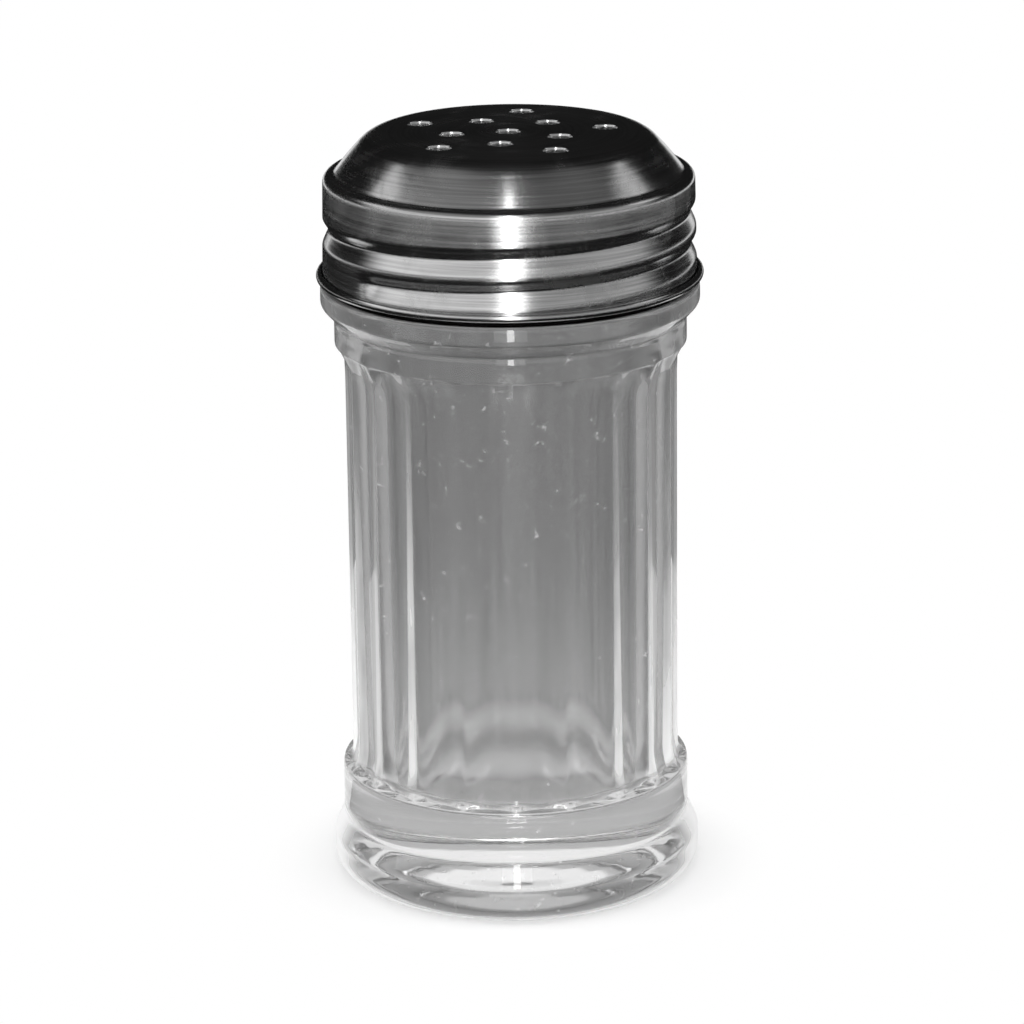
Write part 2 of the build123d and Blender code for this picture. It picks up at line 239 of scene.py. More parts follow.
def glass_jar():
    """Closed skin of the jar, from the punt round the outside and back to the floor."""
    punt = [Vector((PUNT_RADIUS * share, PUNT_HEIGHT - (PUNT_HEIGHT - PUNT_EDGE_HEIGHT) * share**2))
            for share in np.linspace(0, 1, PUNT_STEPS)]
    outside = rounded_path([
        (PUNT_RADIUS, PUNT_EDGE_HEIGHT, 0),
        (LAND_RADIUS, 0, LAND_ROUND),
        (FOOT_RADIUS, 0, FOOT_ROUND),
        (FOOT_RADIUS, FOOT_SIDE, CONE_ROUND),
        (COLLAR_RADIUS, FOOT_CONE_TOP, CONE_ROUND),
        (COLLAR_RADIUS, COLLAR_TOP, COLLAR_ROUND),
        (BODY_RADIUS, BODY_BASE, BODY_END_ROUND),
        (BODY_RADIUS, BODY_BASE + FLUTE_END_REACH, 0),
    ])
    upper = rounded_path([
        (BODY_RADIUS, BODY_TOP - FLUTE_END_REACH, 0),
        (BODY_RADIUS, BODY_TOP, BODY_END_ROUND),
        (SHOULDER_RADIUS, SHOULDER_BASE, SHOULDER_ROUND),
        (SHOULDER_RADIUS, SHOULDER_TOP, NOTCH_ROUND),
        (NOTCH_RADIUS, NOTCH_TOP, NOTCH_ROUND),
        (FLANGE_LIP_RADIUS, FLANGE_BASE, FLANGE_ROUND),
        (FLANGE_RADIUS, FLANGE_TOP, FLANGE_EDGE_ROUND),
        (NECK_RADIUS, FLANGE_TOP, NECK_ROOT_ROUND),
        (NECK_RADIUS, JAR_HEIGHT, RIM_ROUND),
        (BORE_MOUTH_RADIUS, JAR_HEIGHT, RIM_ROUND),
        (BORE_MOUTH_RADIUS, JAR_HEIGHT - RIM_REACH, 0),
    ])
    inside = rounded_path([
        (BORE_MOUTH_RADIUS, JAR_HEIGHT - RIM_REACH, 0),
        (BORE_FLOOR_RADIUS, FLOOR_HEIGHT, FLOOR_ROUND),
        (0, FLOOR_HEIGHT, 0),
    ])
    path = np.concatenate([
        spaced(punt + outside, FINE_ROW),
        spaced([outside[-1], upper[0]], COARSE_ROW)[1:-1],
        spaced(upper, FINE_ROW),
        spaced(inside, COARSE_ROW)[1:],
    ])
    angles = np.arange(JAR_COLUMNS) * 360 / JAR_COLUMNS
    heights = path[1:-1, 1:2]
    radii = np.repeat(path[1:-1, 0:1], JAR_COLUMNS, 1)
    outer = np.arange(len(radii)) < np.argmax(path[1:-1, 1] > JAR_HEIGHT - HAIR)
    body = outer & (path[1:-1, 1] > COLLAR_TOP) & (path[1:-1, 1] < SHOULDER_BASE)
    radii[body] = fluted(radii[body], heights[body], angles)
    neck = outer & (path[1:-1, 1] > FLANGE_TOP) & (path[1:-1, 0] < NECK_RADIUS + HAIR)
    crest = GLASS_THREAD_ROOT + glass_thread(heights[neck], angles)
    radii[neck] = softer_most(radii[neck], crest, ROOT_SOFTNESS)
    points = turned_points(radii, heights, angles)
    bottom, top = len(points), len(points) + 1
    points = np.concatenate([points, [(0, 0, path[0, 1]), (0, 0, path[-1, 1])]])
    last = (len(radii) - 1) * JAR_COLUMNS
    faces = turned_faces(len(radii), JAR_COLUMNS)
    for column in range(JAR_COLUMNS):
        beside = (column + 1) % JAR_COLUMNS
        faces.append([bottom, beside, column])
        faces.append([top, last + column, last + beside])
    return piece_from("pressed_glass_jar", points, faces)


def linear(sheet_colour):
    """Linear colour of an sRGB hex value, with alpha 1."""
    shares = [int(sheet_colour[place:place + 2], 16) / 255 for place in (1, 3, 5)]
    return [share / 12.92 if share <= 0.04045 else ((share + 0.055) / 1.055) ** 2.4
            for share in shares] + [1]


def node(tree, kind, inputs=(), **settings):
    """Adds a node with its settings. An input takes a value, a socket or another node."""
    made = tree.nodes.new("ShaderNode" + kind)
    for setting, value in settings.items():
        setattr(made, setting, value)
    for place, value in dict(inputs).items():
        source = value.outputs[0] if isinstance(value, bpy.types.Node) else value
        if isinstance(source, bpy.types.NodeSocket):
            tree.links.new(source, made.inputs[place])
        else:
            made.inputs[place].default_value = source
    return made


def new_material(name):
    """Empty node material, with the node function set to its tree."""
    material = bpy.data.materials.new(name)
    material.use_nodes = True
    material.node_tree.nodes.clear()
    return material, partial(node, material.node_tree)


def pressed_soda_lime_glass():
    """Soda-lime glass, pressed and fire-polished: clear and glossy with slow waves in its
    skin. The walls are painted grey as painted shade of a dark room seen through them, and only
    the thick base stays bright. The arrises carry bars of painted highlight, the foot's roll is
    painted grey as painted shade and its sides pale with painted sheen, and a dark line of
    painted shade lies in the gap under the lid."""
    # Clear base; two greys of painted shade for the walls; the pale of smudges, and of painted
    # highlight and sheen; painted shade in the gap under the lid and on the foot's roll.
    CLEAN, PALE_SHADE_GREY, DEEP_SHADE_GREY = linear("#f0f0f0"), linear("#c8c8c8"), linear("#aeaeae")
    SMUDGE_AND_HIGHLIGHT, GAP_SHADE, FOOT_SHADE = linear("#f6f6f6"), linear("#161514"), linear("#8c8c8c")
    WAVE_LENGTH, SMUDGE_SIZE, BAR_PATCH, STREAK_WIDTH = 7.0, 1.5, 9.0, 3.0
    soft = {"interpolation_type": "SMOOTHSTEP"}
    material, add = new_material("pressed_soda_lime_glass")

    # Height over the table, angle round the axis and radius of a point, in millimetres and
    # radians, whether it lies on the bore or the outside, and how edge-on it is seen.
    BORE_SIDE, MID_WALL = 23.8, 24.4
    places = add("TexCoord").outputs["Object"]
    split = add("SeparateXYZ", {0: places}).outputs
    height = add("Math", {0: split["Z"], 1: MM}, operation="DIVIDE")
    front = add("Math", {0: split["Y"], 1: -1.0}, operation="MULTIPLY")
    angle = add("Math", {0: split["X"], 1: front}, operation="ARCTAN2")
    flat = add("VectorMath", {0: places, 1: (1 / MM, 1 / MM, 0.0)}, operation="MULTIPLY")
    radius = add("VectorMath", {0: flat}, operation="LENGTH").outputs["Value"]
    inner = add("MapRange", {"Value": radius, "From Min": MID_WALL, "From Max": BORE_SIDE})
    outer = add("Math", {0: 1.0, 1: inner}, operation="SUBTRACT")
    grazing = add("LayerWeight", {"Blend": 0.5}).outputs["Facing"]

    # Painted shade: over the base the walls are painted grey in upright streaks, darker upwards, for
    # the dark room seen through them. Dust dulls the bore and turns the walls milky when seen edge-on.
    DUST_AND_SHADE_STARTS, DUST_AND_SHADE_COVERS = 15.0, 20.0
    SHADE_PALE_BELOW, SHADE_DEEP_ABOVE = 22.0, 66.0
    above_base = add("MapRange", {"Value": height, "From Min": DUST_AND_SHADE_STARTS, "From Max": DUST_AND_SHADE_COVERS},
                     **soft)
    upper = add("MapRange", {"Value": height, "From Min": SHADE_PALE_BELOW, "From Max": SHADE_DEEP_ABOVE}, **soft)
    upright = add("VectorMath", {0: places, 1: (1.0, 1.0, 0.05)}, operation="MULTIPLY")
    streaks = add("TexNoise", {"Vector": upright, "Scale": 1 / (STREAK_WIDTH * MM), "Detail": 3.0})
    streak = add("MapRange", {"Value": streaks, "From Min": 0.35, "From Max": 0.65,
                              "To Min": -0.35, "To Max": 0.35})
    shade_grey = add("Math", {0: upper, 1: streak}, operation="ADD")
    shade_grey = add("Mix", {0: shade_grey, 6: PALE_SHADE_GREY, 7: DEEP_SHADE_GREY}, data_type="RGBA").outputs[2]
    dusty = add("Math", {0: inner, 1: above_base}, operation="MULTIPLY")
    polish = add("MapRange", {"Value": dusty, "To Min": 0.04, "To Max": 0.2})
    milky = add("MapRange", {"Value": grazing, "From Min": 0.2, "From Max": 1.0,
                             "To Min": 0.05, "To Max": 0.7}, **soft)
    milky = add("Math", {0: milky, 1: above_base}, operation="MULTIPLY")

    # Foot: painted shade greys the roll that it stands on, and painted sheen makes its sides pale.
    ROLL_STARTS, ROLL_ENDS = 23.8, 26.5
    GREY_TOP, GREY_FULL = 6.6, 5.2
    PALE_TOP, PALE_FULL = 13.0, 10.0
    rolled = add("MapRange", {"Value": radius, "From Min": ROLL_STARTS, "From Max": ROLL_ENDS})
    low_on_roll = add("MapRange", {"Value": height, "From Min": GREY_TOP, "From Max": GREY_FULL})
    foot = add("Math", {0: low_on_roll, 1: rolled}, operation="MULTIPLY")
    base = add("Mix", {0: foot, 6: CLEAN, 7: FOOT_SHADE}, data_type="RGBA").outputs[2]
    clear = add("Mix", {0: above_base, 6: base, 7: shade_grey}, data_type="RGBA").outputs[2]
    foot_side = add("MapRange", {"Value": height, "From Min": PALE_TOP, "From Max": PALE_FULL})
    foot_sheen = add("MapRange", {"Value": grazing, "From Min": 0.4, "From Max": 0.8,
                                 "To Min": 0.0, "To Max": 0.92}, **soft)
    for share in (foot_side, rolled):
        foot_sheen = add("Math", {0: foot_sheen, 1: share}, operation="MULTIPLY")

    # Painted shade: a dark line on top of the flange, in the gap under the curl of the lid.
    GAP_SHADE_FOOT, GAP_SHADE_FULL = 96.4, 96.6
    GAP_SHADE_THINS, GAP_SHADE_TOP = 97.2, 98.0
    GAP_SHADE_DEEP, GAP_SHADE_EDGE = 28.3, 29.3
    gap_shade = add("MapRange", {"Value": height, "From Min": GAP_SHADE_FOOT, "From Max": GAP_SHADE_FULL})
    gap_high = add("MapRange", {"Value": height, "From Min": GAP_SHADE_TOP, "From Max": GAP_SHADE_THINS})
    gap_deep = add("MapRange", {"Value": radius, "From Min": GAP_SHADE_EDGE, "From Max": GAP_SHADE_DEEP})
    for share in (gap_high, gap_deep, outer):
        gap_shade = add("Math", {0: gap_shade, 1: share}, operation="MULTIPLY")

    # Painted highlight: bright bars on the arrises, broad at the foot and narrow at the top,
    # uneven in patches, and seen where an arris turns away.
    BARS_BROAD, BARS_NARROW = 20.0, 84.0
    BARS_FOOT, BARS_START = 18.8, 20.4
    BARS_FADE, BARS_TOP = 76.0, 86.5
    BRIGHT_BELOW, FAINT_ABOVE = 22.0, 70.0
    turns = add("Math", {0: angle, 1: float(FLUTE_COUNT)}, operation="MULTIPLY")
    ridge = add("Math", {0: turns}, operation="COSINE")
    edge = add("MapRange", {"Value": height, "From Min": BARS_BROAD, "From Max": BARS_NARROW,
                            "To Min": -0.5, "To Max": 0.4})
    inside_edge = add("Math", {0: ridge, 1: edge}, operation="SUBTRACT")
    bars = add("MapRange", {"Value": inside_edge, "From Min": 0.0, "From Max": 0.25}, **soft)
    low_end = add("MapRange", {"Value": height, "From Min": BARS_FOOT, "From Max": BARS_START})
    high_end = add("MapRange", {"Value": height, "From Min": BARS_TOP, "From Max": BARS_FADE})
    stretched = add("VectorMath", {0: places, 1: (1.0, 1.0, 0.2)}, operation="MULTIPLY")
    patches = add("TexNoise", {"Vector": stretched, "Scale": 1 / (BAR_PATCH * MM), "Detail": 3.0})
    patchy = add("MapRange", {"Value": patches, "From Min": 0.36, "From Max": 0.6,
                            "To Min": 0.4, "To Max": 1.0})
    lower = add("MapRange", {"Value": height, "From Min": BRIGHT_BELOW, "From Max": FAINT_ABOVE,
                             "To Min": 1.0, "To Max": 0.4})
    sheen = add("MapRange", {"Value": grazing, "From Min": 0.2, "From Max": 0.5}, **soft)
    for share in (low_end, high_end, outer, patchy, lower, sheen):
        bars = add("Math", {0: bars, 1: share}, operation="MULTIPLY")

    # Smudges: small pale marks, more of them high up than low down.
    FEW_SMUDGES, MOST_SMUDGES = 30.0, 85.0
    spots = add("TexNoise", {"Vector": places, "Scale": 1 / (SMUDGE_SIZE * MM), "Detail": 3.0,
                             "Roughness": 0.6})
    often = add("MapRange", {"Value": height, "From Min": FEW_SMUDGES, "From Max": MOST_SMUDGES,
                             "To Min": -0.03, "To Max": 0.0})
    spots = add("Math", {0: spots, 1: often}, operation="ADD")
    smudge_and_highlight = add("MapRange", {"Value": spots, "From Min": 0.62, "From Max": 0.74,
                             "To Min": 0.0, "To Max": 0.4})
    # The bars of painted highlight and the foot's painted sheen join the pale smudges here.
    for mark in (bars, foot_sheen):
        smudge_and_highlight = add("Math", {0: smudge_and_highlight, 1: mark}, operation="MAXIMUM")

    waves = add("TexNoise", {"Vector": places, "Scale": 1 / (WAVE_LENGTH * MM), "Detail": 2.0})
    cloudy = add("Math", {0: smudge_and_highlight, 1: milky}, operation="MAXIMUM")
    opaque = add("Math", {0: cloudy, 1: gap_shade}, operation="MAXIMUM")
    smudged_and_highlit = add("Mix", {0: smudge_and_highlight, 6: clear, 7: SMUDGE_AND_HIGHLIGHT}, data_type="RGBA").outputs[2]
    glass = add("BsdfPrincipled", {
        "Base Color": add("Mix", {0: gap_shade, 6: smudged_and_highlit, 7: GAP_SHADE}, data_type="RGBA").outputs[2],
        "Transmission Weight": add("Math", {0: 1.0, 1: opaque}, operation="SUBTRACT"),
        "Roughness": add("Mix", {0: smudge_and_highlight, 2: polish, 3: 0.4}, data_type="FLOAT"),
        "IOR": 1.52,
        "Normal": add("Bump", {"Height": waves, "Strength": 0.25, "Distance": 0.05 * MM}),
    })
    lamp_ray = add("LightPath").outputs["Is Shadow Ray"]
    passing = add("BsdfTransparent", {"Color": linear("#d4d4d4")})
    add("OutputMaterial", {"Surface": add("MixShader", {0: lamp_ray, 1: glass, 2: passing})})
    return material


jar = glass_jar()
jar.data.materials.append(pressed_soda_lime_glass())
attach(jar, "jar")
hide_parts("glass_jar")


# ---------------------------------------------------------------- sealing ring
# A flat ring of soft off-white plastisol, poured into the lid and cured there. It seals
# the rim of the jar when the lid is screwed down on it.
LINER_BASE = 113.75
LINER_TOP = 114.35
LINER_INNER = 24.6
LINER_OUTER = 26.35
LINER_ROUND = 0.2
LINER_COLUMNS = 240


def sealing_ring():
    """Ring with softly rounded edges, from the middle of its inner side and back to it."""
    middle = (LINER_BASE + LINER_TOP) / 2
    path = rounded_path([
        (LINER_INNER, middle, 0),
        (LINER_INNER, LINER_BASE, LINER_ROUND),
        (LINER_OUTER, LINER_BASE, LINER_ROUND),
        (LINER_OUTER, LINER_TOP, LINER_ROUND),
        (LINER_INNER, LINER_TOP, LINER_ROUND),
        (LINER_INNER, middle, 0),
    ])
    path = spaced(path, FINE_ROW)[:-1]
    angles = np.arange(LINER_COLUMNS) * 360 / LINER_COLUMNS
    radii = np.repeat(path[:, 0:1], LINER_COLUMNS, 1)
    points = turned_points(radii, path[:, 1:2], angles)
    faces = turned_faces(len(path), LINER_COLUMNS)
    last = (len(path) - 1) * LINER_COLUMNS
    for column in range(LINER_COLUMNS):
        beside = (column + 1) % LINER_COLUMNS
        faces.append([last + column, last + beside, beside, column])
    return piece_from("plastisol_sealing_ring", points, faces)


def cured_plastisol():
    """PVC plastisol, poured into the lid and cured: soft, matt, off-white, mottled."""
    GREYED, OFF_WHITE = linear("#d8d7d4"), linear("#ecebe8")
    MOTTLE = 1.6
    material, add = new_material("cured_plastisol")
    places = add("TexCoord").outputs["Object"]
    mottle = add("TexNoise", {"Vector": places, "Scale": 1 / (MOTTLE * MM), "Detail": 4.0})
    share = add("MapRange", {"Value": mottle, "From Min": 0.35, "From Max": 0.65})
    surface = add("BsdfPrincipled", {
        "Base Color": add("Mix", {0: share, 6: GREYED, 7: OFF_WHITE}, data_type="RGBA").outputs[2],
        "Roughness": add("MapRange", {"Value": share, "To Min": 0.45, "To Max": 0.6}),
        "IOR": 1.53,
        "Normal": add("Bump", {"Height": mottle, "Strength": 0.3, "Distance": 0.05 * MM}),
    })
    add("OutputMaterial", {"Surface": surface})
    return material


ring = sealing_ring()
ring.data.materials.append(cured_plastisol())
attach(ring, "liner")
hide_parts("lid_liner")


# ---------------------------------------------------------------- screw lid
# One sheet of stainless steel, drawn into a low dome over a ledge and a skirt. The thread
# is rolled in as a groove, the edge is curled outwards and eleven holes are punched down.
SHEET = 0.4
LID_TOP = 120.6
LEDGE_TOP = 114.25
CROWN_RADIUS = 21.9
CROWN_SAG = 0.15
CROWN_ROUND = 4.6
CONE_FOOT_RADIUS = 27.2
CONE_FOOT_ROUND = 0.5
CONE_BULGE = 0.1
CONE_BULGE_DROP = 1.0
SKIRT_RADIUS = 28.85
SKIRT_FOOT_RADIUS = 29.19
LEDGE_ROUND = 1.2
CURL_HEIGHT = 98.25
CURL_STRAIGHT = 0.4
CURL_RADIUS = 0.3
CURL_SWEEP = 275
CURL_STEPS = 22
LID_COLUMNS = 480

GROOVE_START = 216.0
GROOVE_BASE = 101.2
GROOVE_TURNS = 1.57
GROOVE_DEPTH = 1.05
GROOVE_ABOVE = 1.6
GROOVE_BELOW = 2.44
GROOVE_FADE = 9.0
BEND_SOFTNESS = 0.3

DISC_RADIUS = 18.5
HOLE_RADIUS = 1.92
HOLE_MOUTH_RADIUS = 2.3
HOLE_LIP_ROUND = 0.3
HOLE_SIDES = 48
BURR_WALL = 0.35
BURR_END = 0.95
BURR_LAND = 0.1
BURR_ROUND = 0.05
BURR_TIP_ROUND = 0.03
DIMPLE_DEPTH = 0.06
DIMPLE_WIDTH = 1.0

# Radius of each ring of holes, how many it has and the angle of the first.
HOLE_RINGS = ((0, 1, 0), (8.85, 5, -98), (15.25, 5, -134))

# The dome is meshed on a lattice, with two closer rings of points round each hole.
MESH_STEP = 1.1
NEAR_STEP = 0.45
NEAR_SIDES = 36
LATTICE_GAP = 1.7
DISC_EDGE_GAP = 0.35
WELD = 0.002


def crown_height(radius):
    """Height of the shallow dome over the axis."""
    curve = (CROWN_RADIUS**2 + CROWN_SAG**2) / (2 * CROWN_SAG)
    return LID_TOP - curve + np.sqrt(curve**2 - radius**2)


def lid_wall():
    """Sheet from the underside of the dome down round the curl and up the outside."""
    outside = rounded_path([
        (DISC_RADIUS, float(crown_height(DISC_RADIUS)), 0),
        (CROWN_RADIUS, LID_TOP - CROWN_SAG, CROWN_ROUND),
        (CONE_FOOT_RADIUS, LEDGE_TOP, CONE_FOOT_ROUND),
        (SKIRT_RADIUS, LEDGE_TOP, LEDGE_ROUND),
        (SKIRT_FOOT_RADIUS, CURL_HEIGHT + CURL_STRAIGHT, 0),
        (SKIRT_FOOT_RADIUS, CURL_HEIGHT, 0),
    ])
    outer = spaced(outside, FINE_ROW)
    slope = np.array((LID_TOP - CROWN_SAG - LEDGE_TOP, CONE_FOOT_RADIUS - CROWN_RADIUS))
    bulge_top = LID_TOP - CONE_BULGE_DROP
    share = np.clip((bulge_top - outer[:, 1:2]) / (bulge_top - LEDGE_TOP), 0, 1)
    outer += CONE_BULGE * np.sin(pi * share) * slope / np.linalg.norm(slope)
    step = np.gradient(outer, axis=0)
    step[0] = (1, 0)
    step[-1] = (0, -1)
    inwards = np.stack((step[:, 1], -step[:, 0]), 1)
    inner = outer + SHEET * inwards / np.linalg.norm(inwards, axis=1, keepdims=True)
    turn = np.radians(np.linspace(180, 180 + CURL_SWEEP, CURL_STEPS))[:, None]
    rolled = np.concatenate((np.cos(turn), np.sin(turn)), 1)
    centre = np.array((SKIRT_FOOT_RADIUS + CURL_RADIUS, CURL_HEIGHT))
    outer_curl = centre + (CURL_RADIUS + SHEET) * rolled
    inner_curl = centre + CURL_RADIUS * rolled[::-1]
    curl = np.concatenate((outer_curl[1:], inner_curl[:-1]))
    angles = np.arange(LID_COLUMNS) * 360 / LID_COLUMNS
    points = np.concatenate([
        rolled_thread(inner, angles),
        turned_points(np.repeat(curl[:, 0:1], LID_COLUMNS, 1), curl[:, 1:2], angles),
        rolled_thread(outer[::-1], angles),
    ])
    return points, turned_faces(len(points) // LID_COLUMNS, LID_COLUMNS)


def rolled_thread(path, angles):
    """Points of a face of the lid. The roller pressed a groove with a steep upper flank
    and a long lower one into its skirt, and it starts and ends bluntly."""
    radii = np.repeat(path[:, 0:1], LID_COLUMNS, 1)
    heights = path[:, 1:2]
    skirt = (path[:, 0] > CONE_FOOT_RADIUS) & (path[:, 1] < LEDGE_TOP - 2 * SHEET)
    for off, scale in thread_turns(heights[skirt], angles, GROOVE_START, GROOVE_BASE,
                                   GROOVE_TURNS, GROOVE_FADE):
        above = GROOVE_DEPTH * (1 - off / GROOVE_ABOVE)
        below = GROOVE_DEPTH * (1 + off / GROOVE_BELOW)
        depth = softer_most(softer_least(above, below, BEND_SOFTNESS), 0, BEND_SOFTNESS / 2)
        radii[skirt] -= scale**2 * (3 - 2 * scale) * depth
    return turned_points(radii, heights, angles)


def hole_centres():
    """Places of the eleven pouring holes, one in the middle and two rings of five."""
    return [(radius * cos(radians(start + 360 * number / count)),
             radius * sin(radians(start + 360 * number / count)))
            for radius, count, start in HOLE_RINGS for number in range(count)]


def sunk(places):
    """Heights of the dome at flat places, dimpled round each hole by the punch."""
    height = crown_height(np.hypot(places[:, 0], places[:, 1]))
    for centre in hole_centres():
        off = np.hypot(places[:, 0] - centre[0], places[:, 1] - centre[1])
        share = np.clip((off - HOLE_MOUTH_RADIUS) / DIMPLE_WIDTH, 0, 1)
        height = height - DIMPLE_DEPTH * (1 - share**2 * (3 - 2 * share))
    return height


def circle(centre, radius, sides):
    """Flat places round a centre."""
    turn = np.arange(sides) * 2 * pi / sides
    return np.stack((centre[0] + radius * np.cos(turn), centre[1] + radius * np.sin(turn)), 1)


def pierced_disc(hole_radius, drop):
    """Skin of the dome with its holes left open, at a depth below the outside."""
    centres = np.array(hole_centres())
    loops = [circle((0, 0), DISC_RADIUS, LID_COLUMNS)]
    loops += [circle(centre, hole_radius, HOLE_SIDES) for centre in centres]
    edges, first = [], 0
    for loop in loops:
        count = len(loop)
        edges += [(first + side, first + (side + 1) % count) for side in range(count)]
        first += count
    near = np.concatenate([circle(centre, hole_radius + NEAR_STEP * step, NEAR_SIDES)
                           for centre in centres for step in (1, 2)])
    reach = int(DISC_RADIUS / MESH_STEP) + 1
    rows = ceil(reach * 2 / sqrt(3))
    lattice = np.array([((column + row % 2 / 2) * MESH_STEP, row * MESH_STEP * sqrt(3) / 2)
                        for row in range(-rows, rows + 1) for column in range(-reach, reach)])
    away = np.linalg.norm(lattice[:, None] - centres[None], axis=2).min(1)
    lattice = lattice[away > hole_radius + LATTICE_GAP]
    inner = np.concatenate([near, lattice])
    inner = inner[np.hypot(inner[:, 0], inner[:, 1]) < DISC_RADIUS - DISC_EDGE_GAP]
    flat = np.concatenate(loops + [inner])
    found = delaunay_2d_cdt([Vector(place) for place in flat.tolist()], edges, [], 0, 1e-5)
    places = np.array([tuple(place) for place in found[0]])
    triangles = np.array([face for face in found[2] if len(face) == 3])
    middles = places[triangles].mean(1)
    away = np.linalg.norm(middles[:, None] - centres[None], axis=2).min(1)
    kept = triangles[away > hole_radius * cos(pi / HOLE_SIDES)]
    return np.column_stack((places, sunk(places) - drop)), kept


def hole_wall(centre):
    """Funnel that the punch drew down through the sheet, with its thin torn end."""
    profile = rounded_path([
        (HOLE_MOUTH_RADIUS, 0, 0),
        (HOLE_MOUTH_RADIUS - HOLE_LIP_ROUND, 0, HOLE_LIP_ROUND),
        (HOLE_RADIUS, BURR_END - BURR_LAND, BURR_ROUND),
        (HOLE_RADIUS, BURR_END, BURR_TIP_ROUND),
        (HOLE_RADIUS + BURR_WALL / 2, BURR_END, BURR_ROUND),
        (HOLE_MOUTH_RADIUS + BURR_WALL / 2, SHEET, 0),
    ])
    rings = []
    for radius, drop in spaced(profile, FINE_ROW):
        flat = circle(centre, radius, HOLE_SIDES)
        rings.append(np.column_stack((flat, sunk(flat) - drop)))
    return np.concatenate(rings), turned_faces(len(rings), HOLE_SIDES)


def screw_lid():
    """Closed skin of the lid: wall, both faces of the dome, and eleven hole walls."""
    wall_points, wall_faces = lid_wall()
    top_points, top_faces = pierced_disc(HOLE_MOUTH_RADIUS, 0)
    under_points, under_faces = pierced_disc(HOLE_MOUTH_RADIUS + BURR_WALL / 2, SHEET)
    parts = [(wall_points, wall_faces), (top_points, top_faces.tolist()),
             (under_points, under_faces[:, ::-1].tolist())]
    parts += [hole_wall(centre) for centre in hole_centres()]
    points, faces, first = [], [], 0
    for part_points, part_faces in parts:
        points.append(part_points)
        faces += [[corner + first for corner in face] for face in part_faces]
        first += len(part_points)
    lid = piece_from("stainless_screw_lid", np.concatenate(points), faces)
    mesh = bmesh.new()
    mesh.from_mesh(lid.data)
    bmesh.ops.remove_doubles(mesh, verts=mesh.verts, dist=WELD * MM)
    mesh.to_mesh(lid.data)
    mesh.free()
    lid.data.shade_smooth()
    return lid


def spun_and_buffed_stainless():
    """Stainless steel, drawn, spun and buffed: a cold grey mirror. Fine lines run round the
    axis and draw each highlight upright, under a few dull smears. Real lines are finer than
    LINE_SPACING and wouldn't show."""
    VALLEY, CREST = linear("#b4b4b4"), linear("#d6d6d6")
    LINE_SPACING, SMEAR_SIZE, AXIS_CORE = 0.35, 9.0, 0.2
    material, add = new_material("spun_and_buffed_stainless")
    places = add("TexCoord").outputs["Object"]
    split = add("SeparateXYZ", {0: places}).outputs
    flat = add("VectorMath", {0: places, 1: (1.0, 1.0, 0.0)}, operation="MULTIPLY")
    length = add("VectorMath", {0: flat}, operation="LENGTH").outputs["Value"]
    radius = add("Math", {0: length, 1: AXIS_CORE * MM}, operation="MAXIMUM")
    turned = add("CombineXYZ", {
        "X": add("Math", {0: radius, 1: LINE_SPACING * MM}, operation="DIVIDE"),
        "Y": add("Math", {0: split["Z"], 1: LINE_SPACING * MM}, operation="DIVIDE"),
        "Z": add("Math", {0: split["X"], 1: radius}, operation="DIVIDE"),
    })
    lines = add("TexNoise", {
        "Vector": turned,
        "W": add("Math", {0: split["Y"], 1: radius}, operation="DIVIDE"),
        "Scale": 1.0, "Detail": 3.0,
    }, noise_dimensions="4D")
    line = add("MapRange", {"Value": lines, "From Min": 0.3, "From Max": 0.7})
    smears = add("TexNoise", {"Vector": places, "Scale": 1 / (SMEAR_SIZE * MM), "Detail": 6.0,
                              "Roughness": 0.6, "Distortion": 0.6})
    smear = add("MapRange", {"Value": smears, "From Min": 0.50, "From Max": 0.68,
                             "To Min": 0.0, "To Max": 0.12})
    polish = add("MapRange", {"Value": line, "To Min": 0.17, "To Max": 0.23})
    steel = add("BsdfPrincipled", {
        "Base Color": add("Mix", {0: line, 6: VALLEY, 7: CREST}, data_type="RGBA").outputs[2],
        "Metallic": 1.0,
        "Roughness": add("Math", {0: polish, 1: smear}, operation="ADD"),
        "Anisotropic": 0.6,
        "Anisotropic Rotation": 0.25,
        "Tangent": add("Tangent", direction_type="RADIAL", axis="Z"),
        "Normal": add("Bump", {"Height": lines, "Strength": 0.2, "Distance": 0.01 * MM}),
    })
    add("OutputMaterial", {"Surface": steel})
    return material


lid = screw_lid()
lid.data.materials.append(spun_and_buffed_stainless())
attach(lid, "lid")
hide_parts("screw_lid")


# ---------------------------------------------------------------- paper floor
# A wide flat sheet of white paper under the shaker. It takes the shaker's shadow close to
# the foot, and further off it is plain white.
FLOOR_SIZE = 6000.0
SHADOW_CORE = 22.0
SHADOW_REACH = 42.0

floor = piece_from("floor", [(x * FLOOR_SIZE, y * FLOOR_SIZE, 0)
                             for x, y in ((-1, -1), (1, -1), (1, 1), (-1, 1))], [[0, 1, 2, 3]])


